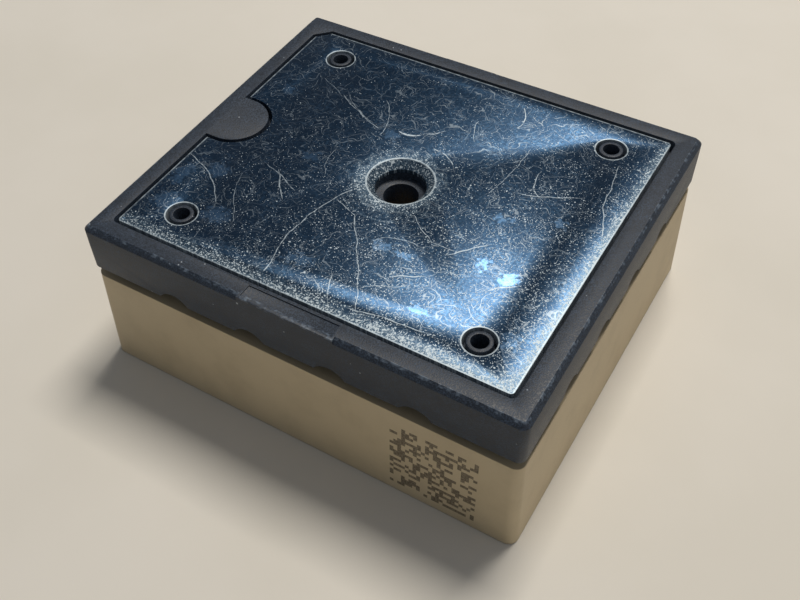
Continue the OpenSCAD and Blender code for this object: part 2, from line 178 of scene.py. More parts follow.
@dataclass(frozen=True)
class MouldedBlack(Finish):
    """Glass-filled polyamide, moulded in a spark-eroded tool.

    That gives a matt grain of small blue-grey glints on charcoal, a paler line along the top edges that is
    rubbed wear with a painted edge highlight, and a few specks of dust.
    """

    name: str = "moulded_black_polyamide"
    body: str = "#1b222c"
    glint: str = "#46566b"
    # paler tone of the top edges: rubbed wear and a painted edge highlight
    rubbed: str = "#6d7b8b"
    dust: str = "#b4bcc4"
    edge: Spot = (29.03, 25.28)
    top: float = 22.9
    grain_of_dust: Point = (-6.35, -25.9, 22.05)

    def dress(self, tree: bpy.types.NodeTree, shader: bpy.types.Node, place: bpy.types.Node) -> None:
        """Builds the grain, the rubbed edges with their painted highlight, and the dust."""
        grain = self.cloud(tree, place, 0.15, 0.38, 0.68, detail=3)
        tone = self.cloud(tree, place, 2.4, 0.25, 0.75, (5, 2, 1), detail=3)
        tone = add(tree, "Math", tone, 0.35, 0.35, operation="MULTIPLY_ADD")
        amount = add(tree, "Math", grain, tone, operation="MULTIPLY")
        tones = {6: linear(self.body), 7: linear(self.glint)}
        colour = add(tree, "Mix", amount, sockets=tones, data_type="RGBA")

        # a paler line along the top edges: rubbed wear, with a painted highlight where the edge catches the
        # light
        axes = add(tree, "SeparateXYZ", place).outputs
        spans = [add(tree, "Math", axis, operation="ABSOLUTE") for axis in axes[:2]]
        sides = [add(tree, "Math", edge, span, operation="SUBTRACT") for edge, span in zip(self.edge, spans)]
        inward = add(tree, "Math", *sides, operation="MINIMUM")
        line = add(tree, "MapRange", inward, 0.16, 0.04, 0.0, 1.0, interpolation_type="SMOOTHSTEP")
        high = add(tree, "Math", axes[2], self.top, operation="GREATER_THAN")
        line = add(tree, "Math", line, high, operation="MULTIPLY")
        broken = self.cloud(tree, place, 0.7, 0.45, 0.7, (1, 1, 1))
        worn = add(tree, "Math", line, broken, operation="MULTIPLY")
        worn = add(tree, "Math", worn, 0.7, operation="MULTIPLY")
        colour = add(tree, "Mix", worn, sockets={6: colour, 7: linear(self.rubbed)}, data_type="RGBA")

        cells = add(tree, "TexVoronoi", sockets={"Vector": place, "Scale": 0.8})
        picked = add(tree, "SeparateColor", cells.outputs["Color"])
        picked = add(tree, "Math", picked, 0.86, operation="GREATER_THAN")
        speck = add(tree, "MapRange", cells, 0.09, 0.05, 0.0, 0.8)
        speck = add(tree, "Math", speck, picked, operation="MULTIPLY")
        off = add(tree, "VectorMath", place, self.grain_of_dust, operation="DISTANCE").outputs["Value"]
        single = add(tree, "MapRange", off, 0.16, 0.1, 0.0, 1.0)
        speck = add(tree, "Math", speck, single, operation="MAXIMUM")
        colour = add(tree, "Mix", speck, sockets={6: colour, 7: linear(self.dust)}, data_type="RGBA")
        tree.links.new(colour.outputs[2], shader.inputs["Base Color"])
        rough = add(tree, "MapRange", grain, 0.0, 1.0, 0.45, 0.62)
        tree.links.new(rough.outputs[0], shader.inputs["Roughness"])
        sockets = {"Height": grain, "Strength": 0.3, "Distance": 0.04 * MM}
        tree.links.new(add(tree, "Bump", sockets=sockets).outputs["Normal"], shader.inputs["Normal"])


@dataclass(frozen=True)
class Scratch:
    """One long scratch: an arc between two ends, in millimetres on the plate.

    The bow is how far its middle stands off the straight line, to the left on the way from start to end.
    """

    start: Spot
    end: Spot
    bow: float
    width: float = 0.09
    strength: float = 0.7

    def draw(self, tree: bpy.types.NodeTree, place: bpy.types.Node) -> bpy.types.Node:
        """Draws the arc.

        Args:
            tree: the node tree.
            place: flat coordinates in millimetres.

        Returns:
            A node that gives the scratch's strength on it and 0 off it.
        """
        start, end = Vector((*self.start, 0)), Vector((*self.end, 0))
        half = (end - start) / 2
        side = Vector((-half.y, half.x, 0)).normalized() * math.copysign(1, self.bow)
        radius = (half.length**2 + self.bow**2) / (2 * abs(self.bow))
        centre = start + half + side * (abs(self.bow) - radius)
        reach = radius - abs(self.bow)
        from_centre = add(tree, "VectorMath", place, tuple(centre), operation="SUBTRACT")
        far = add(tree, "VectorMath", from_centre, operation="LENGTH").outputs["Value"]
        near = add(tree, "Math", far, radius, self.width / 2, operation="COMPARE")
        along = add(tree, "VectorMath", from_centre, tuple(side), operation="DOT_PRODUCT").outputs["Value"]
        within = add(tree, "Math", along, reach, operation="GREATER_THAN")
        drawn = add(tree, "Math", near, within, operation="MULTIPLY")
        return add(tree, "Math", drawn, self.strength, operation="MULTIPLY")


@dataclass(frozen=True)
class Smudge:
    """One cloudy patch of paler plating, in millimetres on the plate."""

    centre: Spot
    size: Spot
    strength: float = 0.6

    def draw(self, tree: bpy.types.NodeTree, place: bpy.types.Node) -> bpy.types.Node:
        """Draws the patch.

        Args:
            tree: the node tree.
            place: flat coordinates in millimetres, already ruffled.

        Returns:
            A node that gives the patch's strength inside it and 0 outside.
        """
        off = add(tree, "VectorMath", place, (*self.centre, 0), operation="SUBTRACT")
        shrunk = add(tree, "VectorMath", off, (1 / self.size[0], 1 / self.size[1], 0), operation="MULTIPLY")
        far = add(tree, "VectorMath", shrunk, operation="LENGTH").outputs["Value"]
        return add(tree, "MapRange", far, 1.0, 0.45, 0.0, self.strength, interpolation_type="SMOOTHSTEP")


SCRATCHES = (
    Scratch((-4.4, -4.3), (-5.8, -21.0), -1.7, 0.11, 0.8),
    Scratch((-4.9, -6.9), (-1.9, -8.2), 0.12, 0.1, 0.8),
    Scratch((-1.9, -8.2), (6.2, -20.7), 0.6, 0.1, 0.7),
    Scratch((-26.2, -8.7), (-17.8, -14.3), 0.8, 0.12, 0.75),
    Scratch((-18.1, -8.5), (-14.0, -15.9), -0.4, 0.09, 0.6),
    Scratch((-16.7, -5.4), (-10.6, -7.8), 0.25, 0.12, 0.7),
    Scratch((-14.2, -6.0), (-11.5, -9.5), 0.1, 0.16, 0.75),
    Scratch((7.1, 20.4), (8.2, 16.2), 0.6, 0.12, 0.7),
    Scratch((11.5, 12.9), (10.5, 3.2), 0.3, 0.08, 0.55),
    Scratch((22.4, 15.4), (25.2, 3.2), -0.5, 0.1, 0.7),
    Scratch((13.8, 5.0), (20.6, 8.0), -0.2, 0.1, 0.75),
    Scratch((14.4, 10.0), (16.2, 5.6), -0.8, 0.12, 0.7),
    Scratch((-15.3, 11.5), (-7.7, 7.7), -0.5, 0.1, 0.65),
    Scratch((-14.6, 12.0), (-9.0, 8.3), -0.7, 0.08, 0.55),
    Scratch((-9.8, 13.1), (-6.8, 6.5), 0.7, 0.08, 0.6),
    Scratch((-19.8, 13.2), (-15.6, 11.2), 0.2, 0.08, 0.5),
    Scratch((-4.8, 8.3), (-2.2, 8.9), -0.35, 0.26, 0.95),
    Scratch((-1.8, 9.6), (0.0, 11.0), -0.1, 0.2, 0.6),
    Scratch((0.6, 7.3), (4.0, 5.8), 0.5, 0.16, 0.75),
    Scratch((4.7, -4.6), (8.4, -7.2), -0.2, 0.1, 0.8),
    Scratch((8.4, -7.4), (11.3, -7.3), -0.1, 0.12, 0.6),
    Scratch((2.3, -10.7), (7.8, -8.8), 0.8, 0.09, 0.6),
    Scratch((5.6, -20.9), (14.4, -20.1), 0.2, 0.12, 0.8),
    Scratch((7.2, -14.6), (10.3, -12.8), 0.1, 0.12, 0.75),
    Scratch((5.5, -17.2), (9.4, -14.9), -0.1, 0.09, 0.6),
    Scratch((17.7, -11.3), (20.1, -9.0), 0.15, 0.14, 0.8),
    Scratch((11.2, -8.3), (14.4, -4.9), 0.1, 0.13, 0.75),
    Scratch((-10.2, 1.2), (-9.0, -3.2), -0.6, 0.08, 0.5),
    Scratch((3.1, 15.1), (4.6, 11.2), -0.4, 0.09, 0.55),
    Scratch((0.9, -17.6), (2.8, -21.6), 0.1, 0.13, 0.6),
)

SMUDGES = (
    Smudge((19.0, -8.6), (1.3, 1.2), 0.95),
    Smudge((15.4, -7.7), (1.1, 1.2), 0.8),
    Smudge((3.7, -10.7), (1.5, 1.1), 0.7),
    Smudge((6.7, -11.0), (1.5, 0.9), 0.7),
    Smudge((14.2, 0.0), (1.4, 0.8), 0.55),
    Smudge((20.3, 2.6), (0.8, 1.0), 0.7),
    Smudge((-21.0, -9.4), (2.0, 1.8), 0.55),
    Smudge((-24.8, -12.0), (1.4, 2.6), 0.5),
    Smudge((-16.4, -16.2), (2.3, 1.8), 0.6),
    Smudge((-23.4, -17.0), (2.6, 1.8), 0.5),
    Smudge((-3.4, -17.4), (2.6, 1.1), 0.6),
    Smudge((-5.4, 7.1), (1.4, 1.3), 0.4),
    Smudge((-22.7, 8.8), (1.5, 1.2), 0.35),
    Smudge((-12.5, -1.5), (1.6, 1.2), 0.4),
    Smudge((23.0, -16.6), (1.2, 1.5), 0.6),
    Smudge((12.2, -17.6), (1.4, 0.9), 0.5),
)


@dataclass(frozen=True)
class PlatedSteel(Finish):
    """Pressed steel, zinc plated and blue passivated, then much handled.

    That gives a dark mirror-like skin with cloudy smudges, hairlines every way, pin-prick nicks that catch
    the light, a grey ring rubbed around the screw hole, pale margins at the front and on the right that are
    wear with a painted reflection, and painted highlights along the edges and around the holes.
    """

    name: str = "zinc_plated_steel"
    skin: str = "#213850"
    mottle: str = "#375470"
    blue: str = "#6a93bd"
    # pale dull tone of the worn areas, also a painted reflection at the front and right margins
    wear_and_reflection_haze: str = "#71899a"
    # pale colour of the nicks and scratches, also used for the painted edge and rim highlights
    scratch_and_highlight: str = "#c6d3da"
    half: Spot = (26.45, 22.78)
    posts: Spot = (20.25, 18.08)
    hole: float = 4.23

    def margins(
        self, tree: bpy.types.NodeTree, place: bpy.types.Node, frayed: bpy.types.Node
    ) -> tuple[bpy.types.Node, bpy.types.Node]:
        """Works out how worn each place is from how near it lies to an edge; the pale worn margin carries a
        painted reflection, and each edge a painted highlight.

        Args:
            tree: the node tree.
            place: flat coordinates in millimetres.
            frayed: a cloudy pattern that frays the worn areas.

        Returns:
            The pale margin, which is wear with a painted reflection, and the painted highlight along each
            edge.
        """
        axes = add(tree, "SeparateXYZ", place).outputs
        right = add(tree, "Math", self.half[0], axes[0], operation="SUBTRACT")
        front = add(tree, "Math", axes[1], self.half[1], operation="ADD")
        spans = [add(tree, "Math", axis, operation="ABSOLUTE") for axis in axes[:2]]
        inward = [add(tree, "Math", half, span, operation="SUBTRACT") for half, span in zip(self.half, spans)]
        edge = add(tree, "Math", *inward, operation="MINIMUM")
        # the corner between front and right is the palest: the most worn, and where the painted reflection is
        # strongest
        corner = add(tree, "Math", right, front, operation="ADD")
        corner = add(tree, "Math", corner, 0.4, operation="MULTIPLY")
        right = add(tree, "Math", right, 1.6, operation="MULTIPLY")
        reach = add(tree, "Math", right, front, operation="MINIMUM")
        reach = add(tree, "Math", reach, corner, operation="MINIMUM")
        reach = add(tree, "Math", frayed, -1.6, reach, operation="MULTIPLY_ADD")
        margin = add(tree, "MapRange", reach, 1.7, -0.6, 0.0, 1.0, interpolation_type="SMOOTHSTEP")
        # a painted highlight along each edge, where the rounded edge would catch the light
        line = add(tree, "MapRange", edge, 0.26, 0.12, 0.0, 1.0, interpolation_type="SMOOTHSTEP")
        return margin, line

    def rings(
        self, tree: bpy.types.NodeTree, place: bpy.types.Node, frayed: bpy.types.Node
    ) -> tuple[bpy.types.Node, bpy.types.Node]:
        """Works out the rubbed ring around the screw hole and the painted highlights on the rims of the
        holes.

        Args:
            tree: the node tree.
            place: flat coordinates in millimetres.
            frayed: a cloudy pattern that frays the ring.

        Returns:
            The ring and the painted rim highlights.
        """
        lower = add(tree, "VectorMath", place, (-0.2, -0.5, 0), operation="DISTANCE").outputs["Value"]
        rubbed = add(tree, "Math", frayed, 2.6, lower, operation="MULTIPLY_ADD")
        ring = add(tree, "MapRange", rubbed, 8.3, 5.2, 0.0, 1.0, interpolation_type="SMOOTHSTEP")
        # where the washer's rim has marked a part circle
        mark = add(tree, "Math", lower, 7.05, 0.14, operation="COMPARE")
        below = add(tree, "MapRange", add(tree, "SeparateXYZ", place).outputs[1], -5.0, -7.0, 0.0, 0.5)
        mark = add(tree, "Math", mark, below, operation="MULTIPLY")
        ring = add(tree, "Math", ring, mark, operation="MAXIMUM")
        # painted highlights: thin pale rings along the rims of the screw hole and the post holes
        middle = add(tree, "VectorMath", place, operation="LENGTH").outputs["Value"]
        lip = add(tree, "Math", middle, self.hole + 0.06, 0.12, operation="COMPARE")
        folded = add(tree, "VectorMath", place, operation="ABSOLUTE")
        off = add(tree, "VectorMath", folded, (*self.posts, 0), operation="DISTANCE").outputs["Value"]
        post_lip = add(tree, "Math", off, 2.04, 0.09, operation="COMPARE")
        return ring, add(tree, "Math", lip, post_lip, operation="MAXIMUM")

    def hairlines(self, tree: bpy.types.NodeTree, place: bpy.types.Node) -> bpy.types.Node:
        """Fine scratches every way, a few millimetres long, from stretched clouds.

        Args:
            tree: the node tree.
            place: coordinates in millimetres, gently warped.

        Returns:
            A node that gives 0 between the scratches and up to 1 on them.
        """
        total = None
        ways = ((0.25, 1.0, 0.68), (0.75, 1.4, 0.67), (1.2, 0.8, 0.69), (1.75, 1.2, 0.68), (2.3, 1.0, 0.67),
                (2.85, 1.5, 0.69))
        for turn, size, low in ways:
            shift = (turn * 31, turn * 17, 0)
            layer = self.cloud(tree, place, size, low, low + 0.07, shift, (0.35, 7, 1), turn, 0.5)
            total = layer if total is None else add(tree, "Math", total, layer, operation="MAXIMUM")
        return total

    def nicks(self, tree: bpy.types.NodeTree, place: bpy.types.Node, worn: bpy.types.Node) -> bpy.types.Node:
        """Pin-prick nicks, thicker to the right and to the front.

        Args:
            tree: the node tree.
            place: flat coordinates in millimetres.
            worn: how worn each place is.

        Returns:
            A node that gives 0 between the nicks and 1 on them.
        """
        axes = add(tree, "SeparateXYZ", place).outputs
        slope = add(tree, "Math", axes[1], -1.1, axes[0], operation="MULTIPLY_ADD")
        dense = add(tree, "MapRange", slope, -38.0, 40.0, 0.0, 0.1)
        clump = self.cloud(tree, place, 2.8, 0.3, 0.7, (8, 3, 0))
        dense = add(tree, "Math", clump, 0.055, dense, operation="MULTIPLY_ADD")
        dense = add(tree, "Math", worn, 0.09, dense, operation="MULTIPLY_ADD")
        total = None
        for size, level in ((0.19, 0.775), (0.27, 0.805), (0.42, 0.835)):
            sockets = {"Vector": add(tree, "Mapping", place, (size * 90, 0, 0), (0, 0, size * 9)),
                       "Scale": 1 / size, "Detail": 0.6, "Roughness": 0.5}
            value = add(tree, "Math", add(tree, "TexNoise", sockets=sockets), dense, operation="ADD")
            prick = add(tree, "MapRange", value, level, level + 0.05, 0.0, 1.0)
            total = prick if total is None else add(tree, "Math", total, prick, operation="MAXIMUM")
        return total

    def dress(self, tree: bpy.types.NodeTree, shader: bpy.types.Node, place: bpy.types.Node) -> None:
        """Builds the skin, the smudges, the worn areas with their painted reflection, the painted highlights
        along edges and hole rims, and every kind of scratch.
        """
        flat = add(tree, "VectorMath", place, (1, 1, 0), operation="MULTIPLY")
        drift = add(tree, "TexNoise", sockets={"Vector": flat, "Scale": 0.3, "Detail": 2.0}).outputs["Color"]
        drift = add(tree, "VectorMath", drift, (0.5, 0.5, 0.5), operation="SUBTRACT")
        warped = add(tree, "VectorMath", drift, (1.1, 1.1, 0), flat, operation="MULTIPLY_ADD")
        swept = add(tree, "VectorMath", drift, (5, 5, 0), flat, operation="MULTIPLY_ADD")
        ruffle = add(tree, "TexNoise", sockets={"Vector": flat, "Scale": 1.4, "Detail": 3.0}).outputs["Color"]
        ruffle = add(tree, "VectorMath", ruffle, (0.5, 0.5, 0.5), operation="SUBTRACT")
        ruffled = add(tree, "VectorMath", ruffle, (3.4, 3.4, 0), flat, operation="MULTIPLY_ADD")

        frayed = self.cloud(tree, flat, 0.8, 0.25, 0.75, (2, 6, 0), detail=4)
        margin, line = self.margins(tree, flat, frayed)
        ring, lip_highlights = self.rings(tree, flat, frayed)
        worn = add(tree, "Math", margin, ring, operation="MAXIMUM")
        hair = self.hairlines(tree, swept)
        nicks = self.nicks(tree, flat, worn)
        smudge = None
        for one in SMUDGES:
            drawn = one.draw(tree, ruffled)
            smudge = drawn if smudge is None else add(tree, "Math", smudge, drawn, operation="MAXIMUM")
        scratch = None
        for one in SCRATCHES:
            drawn = one.draw(tree, warped)
            scratch = drawn if scratch is None else add(tree, "Math", scratch, drawn, operation="MAXIMUM")
        uneven = self.cloud(tree, flat, 0.6, 0.2, 0.6, (7, 7, 0), detail=2)
        scratch = add(tree, "Math", scratch, uneven, operation="MULTIPLY")

        broad = self.cloud(tree, flat, 3.2, 0.35, 0.7, (3, 3, 0), detail=4)
        small = self.cloud(tree, flat, 0.4, 0.35, 0.75, (9, 9, 0), detail=3)
        mottle = add(tree, "Math", broad, small, operation="MULTIPLY")
        mottle = add(tree, "Math", small, 0.3, mottle, operation="MULTIPLY_ADD", use_clamp=True)
        tones = {6: linear(self.skin), 7: linear(self.mottle)}
        colour = add(tree, "Mix", mottle, sockets=tones, data_type="RGBA")
        patchy = add(tree, "MapRange", small, 0.0, 1.0, 0.55, 1.0)
        smudge = add(tree, "Math", smudge, patchy, operation="MULTIPLY")
        colour = add(tree, "Mix", smudge, sockets={6: colour, 7: linear(self.blue)}, data_type="RGBA")
        # the worn areas turn pale and dull: rubbed wear, with a painted reflection at the front and right
        # margins
        grit = self.cloud(tree, flat, 0.22, 0.35, 0.65, (4, 4, 0), detail=2)
        grit = add(tree, "MapRange", grit, 0.0, 1.0, 0.12, 0.6)
        wear_and_reflection_haze = add(tree, "Math", worn, grit, operation="MULTIPLY")
        colour = add(tree, "Mix", wear_and_reflection_haze, sockets={6: colour, 7: linear(self.wear_and_reflection_haze)}, data_type="RGBA")

        hair = add(tree, "Math", hair, 0.26, operation="MULTIPLY")
        marks_and_highlights = add(tree, "Math", hair, scratch, operation="MAXIMUM")
        marks_and_highlights = add(tree, "Math", marks_and_highlights, nicks, operation="MAXIMUM")
        # painted highlights along the plate's edges and its hole rims join the scratches and nicks in their
        # pale colour
        broken = add(tree, "MapRange", uneven, 0.0, 1.0, 0.25, 0.8)
        lip_highlights = add(tree, "Math", lip_highlights, broken, operation="MULTIPLY")
        broken = add(tree, "MapRange", frayed, 0.0, 1.0, 0.25, 0.8)
        line = add(tree, "Math", line, broken, operation="MULTIPLY")
        edges = add(tree, "Math", lip_highlights, line, operation="MAXIMUM")
        marks_and_highlights = add(tree, "Math", marks_and_highlights, edges, operation="MAXIMUM")
        colour = add(tree, "Mix", marks_and_highlights, sockets={6: colour, 7: linear(self.scratch_and_highlight)}, data_type="RGBA")
        tree.links.new(colour.outputs[2], shader.inputs["Base Color"])
        dull = add(tree, "Math", marks_and_highlights, wear_and_reflection_haze, operation="MAXIMUM")
        metal = add(tree, "MapRange", dull, 0.0, 1.0, 0.85, 0.25)
        tree.links.new(metal.outputs[0], shader.inputs["Metallic"])
        rough = add(tree, "MapRange", dull, 0.0, 1.0, 0.32, 0.55)
        tree.links.new(rough.outputs[0], shader.inputs["Roughness"])
        sockets = {"Height": marks_and_highlights, "Strength": 0.2, "Distance": -0.02 * MM}
        tree.links.new(add(tree, "Bump", sockets=sockets).outputs["Normal"], shader.inputs["Normal"])


@dataclass(frozen=True)
class MouldedCream(Finish):
    """Cream thermoplastic polyester, injection moulded.

    That gives a matt skin with a faint grain and a little soiling. On the front wall is a square of
    laser-burnt dots in no order, which stands where a code would be.
    """

    name: str = "moulded_cream_polyester"
    body: str = "#cdbb99"
    soiled: str = "#b8a685"
    burnt: str = "#4f4334"
    field_low: Spot = (13.4, 1.4)
    field_size: float = 11.3
    dots: int = 22

    def dress(self, tree: bpy.types.NodeTree, shader: bpy.types.Node, place: bpy.types.Node) -> None:
        """Builds the grain, the soiling and the square of dots."""
        grain = self.cloud(tree, place, 0.22, 0.25, 0.75, detail=3)
        soil = self.cloud(tree, place, 5.0, 0.42, 0.8, (2, 2, 7), detail=4)
        soil = add(tree, "Math", soil, 0.5, operation="MULTIPLY")
        tones = {6: linear(self.body), 7: linear(self.soiled)}
        colour = add(tree, "Mix", soil, sockets=tones, data_type="RGBA")
        axes = add(tree, "SeparateXYZ", place).outputs
        pitch = self.field_size / self.dots
        steps = []
        inside = add(tree, "Math", axes[1], -25.6, operation="LESS_THAN")
        for axis, low in ((axes[0], self.field_low[0]), (axes[2], self.field_low[1])):
            off = add(tree, "Math", axis, low, operation="SUBTRACT")
            step = add(tree, "Math", off, pitch, operation="DIVIDE")
            middle = add(tree, "Math", step, self.dots / 2, self.dots / 2, operation="COMPARE")
            inside = add(tree, "Math", inside, middle, operation="MULTIPLY")
            steps.append(add(tree, "Math", step, operation="FLOOR"))
        cell = add(tree, "CombineXYZ", *steps, 3.0)
        burnt = add(tree, "TexWhiteNoise", cell, noise_dimensions="3D")
        dots = add(tree, "Math", burnt, 0.52, operation="GREATER_THAN")
        dots = add(tree, "Math", dots, inside, operation="MULTIPLY")
        faded = add(tree, "MapRange", grain, 0.0, 1.0, 0.6, 0.95)
        dots = add(tree, "Math", dots, faded, operation="MULTIPLY")
        colour = add(tree, "Mix", dots, sockets={6: colour, 7: linear(self.burnt)}, data_type="RGBA")
        tree.links.new(colour.outputs[2], shader.inputs["Base Color"])
        rough = add(tree, "MapRange", grain, 0.0, 1.0, 0.5, 0.62)
        tree.links.new(rough.outputs[0], shader.inputs["Roughness"])
        rounded = add(tree, "Bevel", 0.18 * MM, samples=4)
        sockets = {"Height": grain, "Strength": 0.2, "Distance": 0.03 * MM, "Normal": rounded}
        tree.links.new(add(tree, "Bump", sockets=sockets).outputs["Normal"], shader.inputs["Normal"])


@dataclass(frozen=True)
class Grained(Finish):
    """A finish with a fine grain: two tones that follow the grain, and a bump from it."""

    name: str = "grained"
    body: str = "#808080"
    tone: str = "#707070"
    size: float = 0.3
    stretch: Point = (1, 1, 1)
    metal: float = 0.0
    rough: Spot = (0.4, 0.55)
    clear: float = 0.0
    depth: float = 0.02

    def dress(self, tree: bpy.types.NodeTree, shader: bpy.types.Node, place: bpy.types.Node) -> None:
        """Builds the two tones and the bump."""
        grain = self.cloud(tree, place, self.size, 0.3, 0.7, stretch=self.stretch, detail=4)
        tones = {6: linear(self.body), 7: linear(self.tone)}
        colour = add(tree, "Mix", grain, sockets=tones, data_type="RGBA")
        tree.links.new(colour.outputs[2], shader.inputs["Base Color"])
        rough = add(tree, "MapRange", grain, 0.0, 1.0, *self.rough)
        tree.links.new(rough.outputs[0], shader.inputs["Roughness"])
        shader.inputs["Metallic"].default_value = self.metal
        if self.clear:
            shader.inputs["Transmission Weight"].default_value = self.clear
            shader.inputs["IOR"].default_value = 1.41
        sockets = {"Height": grain, "Strength": 0.2, "Distance": self.depth * MM}
        tree.links.new(add(tree, "Bump", sockets=sockets).outputs["Normal"], shader.inputs["Normal"])


class Inner(Enum):
    """The finishes of the pieces inside, by material slot."""

    white_ceramic = Grained("sintered_alumina", "#e6e3da", "#d9d5ca", 0.12, rough=(0.5, 0.65))
    copper = Grained("bonded_copper_foil", "#c07c56", "#a9623f", 0.5, metal=1.0, rough=(0.28, 0.42))
    transistor_silicon = Grained(
        "metallised_silicon", "#8a8f96", "#787d85", 0.4, metal=0.8, rough=(0.25, 0.35))
    diode_silicon = Grained(
        "metallised_diode_silicon", "#6f747b", "#5e636a", 0.4, metal=0.8, rough=(0.25, 0.35))
    sensor_body = Grained("glazed_chip_resistor", "#2a2a2c", "#3a3a3c", 0.2, rough=(0.2, 0.35))
    bond_aluminium = Grained(
        "drawn_aluminium_wire", "#d4d6d8", "#bfc2c4", 0.1, (1, 0.2, 1), 1.0, (0.22, 0.35))
    clear_gel = Grained("silicone_gel", "#e9eef0", "#dfe6ea", 4.0, rough=(0.05, 0.1), clear=0.9, depth=0.005)
    spring_wire = Grained("silver_plated_bronze", "#cfcac0", "#b5aea0", 0.15, (1, 1, 3), 1.0, (0.25, 0.4))


# ---------------------------------------------------------------- modelling by hand


def pick(piece: bpy.types.Object) -> None:
    """Makes one piece the selected and active object."""
    bpy.ops.object.select_all(action="DESELECT")
    piece.select_set(True)
    bpy.context.view_layer.objects.active = piece


@contextlib.contextmanager
def editing(piece: bpy.types.Object, kind: str = "EDGE") -> Iterator[bmesh.types.BMesh]:
    """Opens a piece in edit mode with nothing selected, and closes it again.

    Args:
        piece: the piece to edit.
        kind: what is selected in it: "VERT", "EDGE" or "FACE".

    Yields:
        Its edit mesh, on which faces and edges are selected in code.
    """
    pick(piece)
    bpy.ops.object.mode_set(mode="EDIT")
    bpy.ops.mesh.select_mode(type=kind)
    bpy.ops.mesh.select_all(action="DESELECT")
    yield bmesh.from_edit_mesh(piece.data)
    bpy.ops.object.mode_set(mode="OBJECT")


def block(name: str, low: Point, high: Point) -> bpy.types.Object:
    """Adds a box from one corner to the other, in millimetres.

    Args:
        name: the piece's name.
        low: lowest corner.
        high: highest corner.

    Returns:
        The box, with its place in its mesh.
    """
    bpy.ops.object.select_all(action="DESELECT")
    bpy.ops.mesh.primitive_cube_add(size=1, location=[(a + b) / 2 * MM for a, b in zip(low, high)])
    piece = bpy.context.object
    piece.name = piece.data.name = name
    piece.scale = [(b - a) * MM for a, b in zip(low, high)]
    bpy.ops.object.transform_apply(location=True, rotation=True, scale=True)
    return piece


def rod(
    name: str, radius: float, low: Point, high: Point, sides: int = 64, tip: float | None = None
) -> bpy.types.Object:
    """Adds a round bar, or a cone, between two points, in millimetres.

    Args:
        name: the piece's name.
        radius: its radius, at the low end.
        low: centre of one end.
        high: centre of the other end.
        sides: how many sides it has.
        tip: its radius at the high end, where that differs.

    Returns:
        The bar, with its place in its mesh.
    """
    bpy.ops.object.select_all(action="DESELECT")
    way = Vector(high) - Vector(low)
    end = radius if tip is None else tip
    bpy.ops.mesh.primitive_cone_add(
        vertices=sides, radius1=radius * MM, radius2=end * MM, depth=way.length * MM,
        location=(Vector(low) + way / 2) * MM, rotation=way.to_track_quat("Z", "Y").to_euler())
    piece = bpy.context.object
    piece.name = piece.data.name = name
    bpy.ops.object.transform_apply(location=True, rotation=True, scale=True)
    return piece


def bevel(
    piece: bpy.types.Object, wanted: Callable[[Vector, Vector], bool], width: float, segments: int = 1
) -> None:
    """Bevels the edges whose two ends pass a test.

    Args:
        piece: the piece.
        wanted: the test, given the ends in millimetres.
        width: width of the bevel in millimetres.
        segments: how many steps it has; 1 gives a chamfer.
    """
    with editing(piece) as mesh:
        for edge in mesh.edges:
            edge.select_set(wanted(edge.verts[0].co / MM, edge.verts[1].co / MM))
        bmesh.update_edit_mesh(piece.data)
        bpy.ops.mesh.bevel(offset=width * MM, segments=segments, affect="EDGES", clamp_overlap=True)


def upright(a: Vector, b: Vector) -> bool:
    """Whether an edge stands up."""
    return abs(a.x - b.x) < 0.01 and abs(a.y - b.y) < 0.01


def level_at(height: float) -> Callable[[Vector, Vector], bool]:
    """A test for edges that lie at a height, in millimetres."""
    return lambda a, b: abs(a.z - height) < 0.01 and abs(b.z - height) < 0.01


class Join(Enum):
    """How a second piece changes the first."""

    CUT = "DIFFERENCE"
    ADD = "UNION"


def join(piece: bpy.types.Object, others: Sequence[bpy.types.Object], how: Join) -> None:
    """Cuts the other pieces out of a piece, or melts them into it, and removes them.

    Args:
        piece: the piece that stays.
        others: the pieces that go.
        how: cut or add.
    """
    for other in others:
        pick(piece)
        step = piece.modifiers.new("join", "BOOLEAN")
        step.operation = how.value
        step.solver = "EXACT"
        step.object = other
        bpy.ops.object.modifier_apply(modifier=step.name)
        bpy.data.objects.remove(other)


def merged(name: str, pieces: Sequence[bpy.types.Object]) -> bpy.types.Object:
    """Makes one object of several pieces that stand apart.

    Args:
        name: the new name.
        pieces: the pieces.

    Returns:
        The one object.
    """
    bpy.ops.object.select_all(action="DESELECT")
    for one in pieces:
        one.select_set(True)
    bpy.context.view_layer.objects.active = pieces[0]
    bpy.ops.object.join()
    pieces[0].name = pieces[0].data.name = name
    return pieces[0]


def soften(piece: bpy.types.Object, width: float, segments: int = 2, angle: float = 30) -> None:
    """Rounds every sharp edge a little and smooths the round faces.

    Args:
        piece: the piece.
        width: width of the rounding in millimetres.
        segments: how many steps it has.
        angle: edges sharper than this are rounded, in degrees.
    """
    with editing(piece, "VERT"):
        bpy.ops.mesh.select_all(action="SELECT")
        bpy.ops.mesh.remove_doubles(threshold=0.002 * MM)
        bpy.ops.mesh.dissolve_limited(angle_limit=math.radians(0.3))
    pick(piece)
    step = piece.modifiers.new("soft edges", "BEVEL")
    step.width = width * MM
    step.segments = segments
    step.limit_method = "ANGLE"
    step.angle_limit = math.radians(angle)
    step.use_clamp_overlap = True
    bpy.ops.object.modifier_apply(modifier=step.name)
    bpy.ops.object.shade_smooth_by_angle(angle=math.radians(35))


# ---------------------------------------------------------------- the lid and its plate


